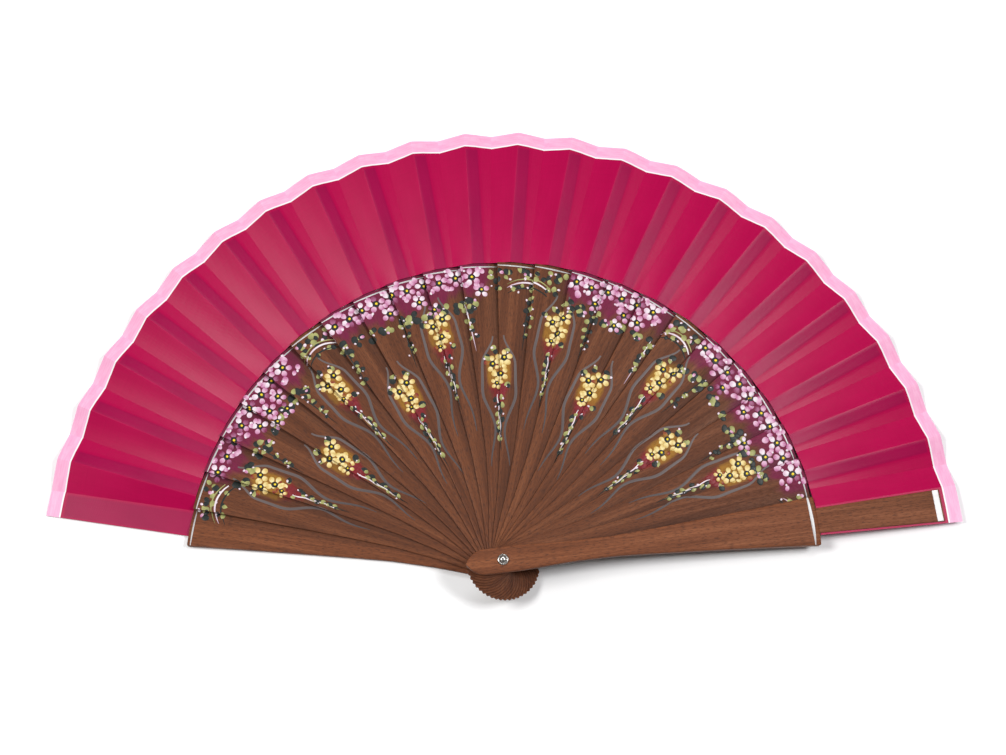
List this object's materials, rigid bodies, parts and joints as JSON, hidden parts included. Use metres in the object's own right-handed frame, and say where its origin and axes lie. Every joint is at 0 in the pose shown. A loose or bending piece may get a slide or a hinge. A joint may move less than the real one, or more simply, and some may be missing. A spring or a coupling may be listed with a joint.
{
  "type": "hand fan",
  "caption": "Folding hand fan with painted wooden ribs between two thicker guards, all turning on one rivet, and a pleated cloth leaf with a pale border.",
  "frame": {"origin": "on the rivet's axis, at the flat back face of the rivet, level with the back face of the rear guard", "axes": "+X to the right across the open fan, +Y from the rivet to the middle of the rim, +Z from the rear guard to the front guard along the rivet"},
  "size_m": [0.4276, 0.2319, 0.0269],
  "materials": {
    "guard_wood": "satin oiled hardwood with fine dark pores",
    "rib_wood": "satin oiled hardwood, painted by hand on the front",
    "leaf_cloth": "fine plain-weave cotton with a painted pale pink border",
    "silver_metal": "polished nickel-plated rivet and cup washers"
  },
  "bodies": {
    "rear_guard": {"rear_guard": "guard_wood", "rivet": "silver_metal", "front_washer": "silver_metal", "rear_washer": "silver_metal"},
    "rib_01": {"rib_01": "rib_wood", "leaf_gore_01": "leaf_cloth"},
    "rib_02": {"rib_02": "rib_wood", "leaf_gore_02": "leaf_cloth"},
    "rib_03": {"rib_03": "rib_wood", "leaf_gore_03": "leaf_cloth"},
    "rib_04": {"rib_04": "rib_wood", "leaf_gore_04": "leaf_cloth"},
    "rib_05": {"rib_05": "rib_wood", "leaf_gore_05": "leaf_cloth"},
    "rib_06": {"rib_06": "rib_wood", "leaf_gore_06": "leaf_cloth"},
    "rib_07": {"rib_07": "rib_wood", "leaf_gore_07": "leaf_cloth"},
    "rib_08": {"rib_08": "rib_wood", "leaf_gore_08": "leaf_cloth"},
    "rib_09": {"rib_09": "rib_wood", "leaf_gore_09": "leaf_cloth"},
    "rib_10": {"rib_10": "rib_wood", "leaf_gore_10": "leaf_cloth"},
    "rib_11": {"rib_11": "rib_wood", "leaf_gore_11": "leaf_cloth"},
    "rib_12": {"rib_12": "rib_wood", "leaf_gore_12": "leaf_cloth"},
    "rib_13": {"rib_13": "rib_wood", "leaf_gore_13": "leaf_cloth"},
    "rib_14": {"rib_14": "rib_wood", "leaf_gore_14": "leaf_cloth"},
    "rib_15": {"rib_15": "rib_wood", "leaf_gore_15": "leaf_cloth"},
    "rib_16": {"rib_16": "rib_wood", "leaf_gore_16": "leaf_cloth"},
    "rib_17": {"rib_17": "rib_wood", "leaf_gore_17": "leaf_cloth"},
    "rib_18": {"rib_18": "rib_wood", "leaf_gore_18": "leaf_cloth"},
    "rib_19": {"rib_19": "rib_wood", "leaf_gore_19": "leaf_cloth"},
    "rib_20": {"rib_20": "rib_wood", "leaf_gore_20": "leaf_cloth"},
    "rib_21": {"rib_21": "rib_wood", "leaf_gore_21": "leaf_cloth"},
    "rib_22": {"rib_22": "rib_wood", "leaf_gore_22": "leaf_cloth"},
    "front_guard": {"front_guard": "guard_wood", "leaf_gore_23": "leaf_cloth"}
  },
  "joints": [
    {"name": "rib_01_fold", "type": "hinge", "parent": "rear_guard", "child": "rib_01", "pos_m": [0, 0, 0.00318], "axis": [0.0052, 0.0249, 0.9997], "range_deg": [0, 7.13], "deforming": ["leaf_gore_01"]},
    {"name": "rib_02_fold", "type": "hinge", "parent": "rib_01", "child": "rib_02", "pos_m": [-0.00001, -0.00002, 0.00404], "axis": [0.0104, 0.0304, 0.9995], "range_deg": [0, 7.13], "deforming": ["leaf_gore_02"]},
    {"name": "rib_03_fold", "type": "hinge", "parent": "rib_02", "child": "rib_03", "pos_m": [-0.00002, -0.00004, 0.0049], "axis": [0.0141, 0.0289, 0.9995], "range_deg": [0, 7.13], "deforming": ["leaf_gore_03"]},
    {"name": "rib_04_fold", "type": "hinge", "parent": "rib_03", "child": "rib_04", "pos_m": [-0.00004, -0.00006, 0.00576], "axis": [0.0176, 0.0269, 0.9995], "range_deg": [0, 7.13], "deforming": ["leaf_gore_04"]},
    {"name": "rib_05_fold", "type": "hinge", "parent": "rib_04", "child": "rib_05", "pos_m": [-0.00007, -0.00008, 0.00662], "axis": [0.0208, 0.0245, 0.9995], "range_deg": [0, 7.13], "deforming": ["leaf_gore_05"]},
    {"name": "rib_06_fold", "type": "hinge", "parent": "rib_05", "child": "rib_06", "pos_m": [-0.0001, -0.00009, 0.00748], "axis": [0.0237, 0.0218, 0.9995], "range_deg": [0, 7.13], "deforming": ["leaf_gore_06"]},
    {"name": "rib_07_fold", "type": "hinge", "parent": "rib_06", "child": "rib_07", "pos_m": [-0.00013, -0.00009, 0.00834], "axis": [0.0262, 0.0187, 0.9995], "range_deg": [0, 7.13], "deforming": ["leaf_gore_07"]},
    {"name": "rib_08_fold", "type": "hinge", "parent": "rib_07", "child": "rib_08", "pos_m": [-0.00017, -0.00009, 0.0092], "axis": [0.0283, 0.0153, 0.9995], "range_deg": [0, 7.13], "deforming": ["leaf_gore_08"]},
    {"name": "rib_09_fold", "type": "hinge", "parent": "rib_08", "child": "rib_09", "pos_m": [-0.0002, -0.00008, 0.01006], "axis": [0.03, 0.0116, 0.9995], "range_deg": [0, 7.13], "deforming": ["leaf_gore_09"]},
    {"name": "rib_10_fold", "type": "hinge", "parent": "rib_09", "child": "rib_10", "pos_m": [-0.00024, -0.00006, 0.01092], "axis": [0.0312, 0.0078, 0.9995], "range_deg": [0, 7.13], "deforming": ["leaf_gore_10"]},
    {"name": "rib_11_fold", "type": "hinge", "parent": "rib_10", "child": "rib_11", "pos_m": [-0.00027, -0.00003, 0.01178], "axis": [0.0319, 0.0039, 0.9995], "range_deg": [0, 7.13], "deforming": ["leaf_gore_11"]},
    {"name": "rib_12_fold", "type": "hinge", "parent": "rib_11", "child": "rib_12", "pos_m": [-0.0003, 0, 0.01264], "axis": [0.0322, -0.0001, 0.9995], "range_deg": [0, 7.13], "deforming": ["leaf_gore_12"]},
    {"name": "rib_13_fold", "type": "hinge", "parent": "rib_12", "child": "rib_13", "pos_m": [-0.00032, 0.00004, 0.0135], "axis": [0.0319, -0.0041, 0.9995], "range_deg": [0, 7.13], "deforming": ["leaf_gore_13"]},
    {"name": "rib_14_fold", "type": "hinge", "parent": "rib_13", "child": "rib_14", "pos_m": [-0.00034, 0.00009, 0.01436], "axis": [0.0312, -0.008, 0.9995], "range_deg": [0, 7.13], "deforming": ["leaf_gore_14"]},
    {"name": "rib_15_fold", "type": "hinge", "parent": "rib_14", "child": "rib_15", "pos_m": [-0.00035, 0.00014, 0.01522], "axis": [0.0299, -0.0118, 0.9995], "range_deg": [0, 7.13], "deforming": ["leaf_gore_15"]},
    {"name": "rib_16_fold", "type": "hinge", "parent": "rib_15", "child": "rib_16", "pos_m": [-0.00036, 0.0002, 0.01608], "axis": [0.0282, -0.0154, 0.9995], "range_deg": [0, 7.13], "deforming": ["leaf_gore_16"]},
    {"name": "rib_17_fold", "type": "hinge", "parent": "rib_16", "child": "rib_17", "pos_m": [-0.00035, 0.00026, 0.01694], "axis": [0.0261, -0.0188, 0.9995], "range_deg": [0, 7.13], "deforming": ["leaf_gore_17"]},
    {"name": "rib_18_fold", "type": "hinge", "parent": "rib_17", "child": "rib_18", "pos_m": [-0.00034, 0.00032, 0.0178], "axis": [0.0236, -0.0219, 0.9995], "range_deg": [0, 7.13], "deforming": ["leaf_gore_18"]},
    {"name": "rib_19_fold", "type": "hinge", "parent": "rib_18", "child": "rib_19", "pos_m": [-0.00032, 0.00038, 0.01866], "axis": [0.0207, -0.0247, 0.9995], "range_deg": [0, 7.13], "deforming": ["leaf_gore_19"]},
    {"name": "rib_20_fold", "type": "hinge", "parent": "rib_19", "child": "rib_20", "pos_m": [-0.00028, 0.00044, 0.01952], "axis": [0.0174, -0.027, 0.9995], "range_deg": [0, 7.13], "deforming": ["leaf_gore_20"]},
    {"name": "rib_21_fold", "type": "hinge", "parent": "rib_20", "child": "rib_21", "pos_m": [-0.00024, 0.00049, 0.02038], "axis": [0.014, -0.029, 0.9995], "range_deg": [0, 7.13], "deforming": ["leaf_gore_21"]},
    {"name": "rib_22_fold", "type": "hinge", "parent": "rib_21", "child": "rib_22", "pos_m": [-0.00018, 0.00054, 0.02124], "axis": [0.0103, -0.0305, 0.9995], "range_deg": [0, 7.13], "deforming": ["leaf_gore_22"]},
    {"name": "front_guard_fold", "type": "hinge", "parent": "rib_22", "child": "front_guard", "pos_m": [-0.00012, 0.00059, 0.0221], "axis": [0.0064, -0.0315, 0.9995], "range_deg": [0, 7.13], "deforming": ["leaf_gore_23"]}
  ],
  "couplings": [
    {"joint": "rib_02_fold", "follows": "rib_01_fold", "ratio": 1.0002},
    {"joint": "rib_03_fold", "follows": "rib_01_fold", "ratio": 1.0002},
    {"joint": "rib_04_fold", "follows": "rib_01_fold", "ratio": 1.0002},
    {"joint": "rib_05_fold", "follows": "rib_01_fold", "ratio": 1.0002},
    {"joint": "rib_06_fold", "follows": "rib_01_fold", "ratio": 1.0002},
    {"joint": "rib_07_fold", "follows": "rib_01_fold", "ratio": 1.0002},
    {"joint": "rib_08_fold", "follows": "rib_01_fold", "ratio": 1.0002},
    {"joint": "rib_09_fold", "follows": "rib_01_fold", "ratio": 1.0002},
    {"joint": "rib_10_fold", "follows": "rib_01_fold", "ratio": 1.0002},
    {"joint": "rib_11_fold", "follows": "rib_01_fold", "ratio": 1.0002},
    {"joint": "rib_12_fold", "follows": "rib_01_fold", "ratio": 1.0002},
    {"joint": "rib_13_fold", "follows": "rib_01_fold", "ratio": 1.0002},
    {"joint": "rib_14_fold", "follows": "rib_01_fold", "ratio": 1.0002},
    {"joint": "rib_15_fold", "follows": "rib_01_fold", "ratio": 1.0002},
    {"joint": "rib_16_fold", "follows": "rib_01_fold", "ratio": 1.0002},
    {"joint": "rib_17_fold", "follows": "rib_01_fold", "ratio": 1.0002},
    {"joint": "rib_18_fold", "follows": "rib_01_fold", "ratio": 1.0002},
    {"joint": "rib_19_fold", "follows": "rib_01_fold", "ratio": 1.0002},
    {"joint": "rib_20_fold", "follows": "rib_01_fold", "ratio": 1.0002},
    {"joint": "rib_21_fold", "follows": "rib_01_fold", "ratio": 1.0002},
    {"joint": "rib_22_fold", "follows": "rib_01_fold", "ratio": 1.0002},
    {"joint": "front_guard_fold", "follows": "rib_01_fold", "ratio": 1.0002}
  ]
}
